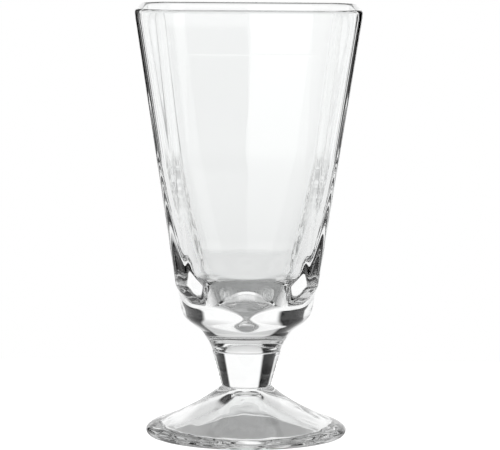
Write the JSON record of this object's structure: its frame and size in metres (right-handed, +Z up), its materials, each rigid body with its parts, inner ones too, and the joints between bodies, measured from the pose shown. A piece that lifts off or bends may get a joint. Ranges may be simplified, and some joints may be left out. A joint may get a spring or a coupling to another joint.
{
  "type": "stemmed shot glass",
  "caption": "Clear stemmed shot glass: square flaring bowl with cut corners, thick solid base and half-round lip, on a short tapered stem and a round spreading foot that is hollow underneath.",
  "frame": {"origin": "centre of the standing plane, on the axis of the foot", "axes": "+Z up along the axis of the stem; the bowl's wide faces look along +X, -X, +Y and -Y"},
  "size_m": [0.0464, 0.0464, 0.09],
  "materials": {
    "clear_glass": "polished, clear and colourless, fire-polished edges"
  },
  "bodies": {
    "root": {"bowl": "clear_glass", "stem": "clear_glass", "foot": "clear_glass"}
  },
  "joints": []
}
